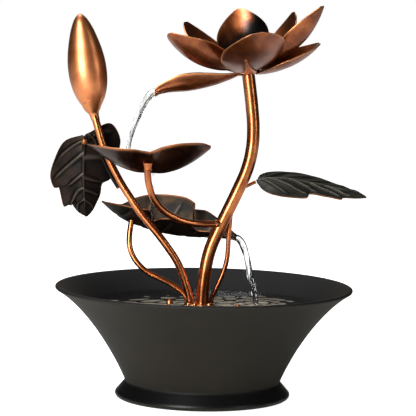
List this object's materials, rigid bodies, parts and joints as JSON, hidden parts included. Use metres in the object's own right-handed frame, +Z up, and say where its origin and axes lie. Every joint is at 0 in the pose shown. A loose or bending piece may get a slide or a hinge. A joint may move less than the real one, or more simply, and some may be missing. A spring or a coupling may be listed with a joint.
{
  "type": "tabletop water fountain",
  "caption": "Tabletop fountain: a flared bowl with a pump under a cover feeds a copper flower on a hollow stem, which spills through a dish and a leaf back into the pool.",
  "frame": {"origin": "on the table under the felt pad, on the bowl's axis", "axes": "+Z up, +X to the viewer's right and +Y away from a viewer at the fountain's front"},
  "size_m": [0.2198, 0.205, 0.2716],
  "materials": {
    "polished_copper": "polished copper tube under clear lacquer",
    "brown_copper": "heat-coloured brown copper sheet, satin",
    "antique_copper": "dark antiqued copper sheet, satin",
    "braze": "brazing alloy, bright and slightly lumpy",
    "antique_plate": "dark antiqued plate, satin",
    "stoneware": "dark charcoal cast stoneware, matt",
    "felt": "adhesive felt, matt",
    "cover_plastic": "black moulded plastic, matt",
    "pump_plastic": "black moulded plastic, satin",
    "rubber": "black rubber, matt",
    "silicone": "translucent silicone hose, satin",
    "magnet": "sintered ferrite magnet, matt",
    "steel": "stainless steel, bright"
  },
  "bodies": {
    "bowl": {"bowl": "stoneware", "base_pad": "felt", "pump_housing": "pump_plastic", "outlet_nozzle": "pump_plastic", "pump_shaft": "steel", "rear_bushing": "rubber", "impeller_cover": "pump_plastic", "front_bushing": "rubber", "suction_cup_1": "rubber", "suction_cup_2": "rubber", "suction_cup_3": "rubber", "suction_cup_4": "rubber", "cord_gland": "rubber"},
    "sculpture": {"pump_cover": "cover_plastic", "stem_plate": "antique_plate", "plate_screw_1": "steel", "plate_screw_2": "steel", "riser_hose": "silicone", "main_stem": "polished_copper", "bud_stem": "polished_copper", "dish_stem": "polished_copper", "leaf_prop": "polished_copper", "brace_rod": "polished_copper", "left_leaf_wire": "polished_copper", "right_leaf_wire": "polished_copper", "bud_front": "polished_copper", "bud_back": "polished_copper", "bud_crimp": "polished_copper", "acorn_nut_1": "polished_copper", "acorn_nut_2": "polished_copper", "root_braze": "braze", "branch_braze": "braze", "brace_braze": "braze", "wire_braze": "braze", "left_leaf_braze": "braze", "dish_ferrule": "braze", "flower_washer": "braze", "petal_strap": "braze", "petal_left": "brown_copper", "petal_right": "brown_copper", "petal_back": "brown_copper", "petal_front": "brown_copper", "petal_left_back": "brown_copper", "petal_right_back": "brown_copper", "petal_lower_right": "brown_copper", "spout_petal": "brown_copper", "upper_dish": "brown_copper", "lower_leaf": "antique_copper", "left_leaf": "antique_copper", "right_leaf": "antique_copper"},
    "strainer": {"strainer_cover": "pump_plastic"},
    "flow_dial": {"flow_dial": "pump_plastic"},
    "rotor": {"impeller": "pump_plastic", "rotor_magnet": "magnet"}
  },
  "joints": [
    {"name": "sculpture_lift", "type": "slide", "parent": "bowl", "child": "sculpture", "axis": [0, 0, 1], "range_m": [0, 0.1]},
    {"name": "strainer_pull", "type": "slide", "parent": "bowl", "child": "strainer", "axis": [0, -1, 0], "range_m": [0, 0.008]},
    {"name": "flow_dial_turn", "type": "hinge", "parent": "strainer", "child": "flow_dial", "pos_m": [-0.001, -0.0108, 0.0263], "axis": [0, -1, 0], "range_deg": [0, 90]},
    {"name": "rotor_spin", "type": "hinge", "parent": "bowl", "child": "rotor", "pos_m": [-0.001, 0.004, 0.0263], "axis": [0, 1, 0], "continuous": true}
  ]
}
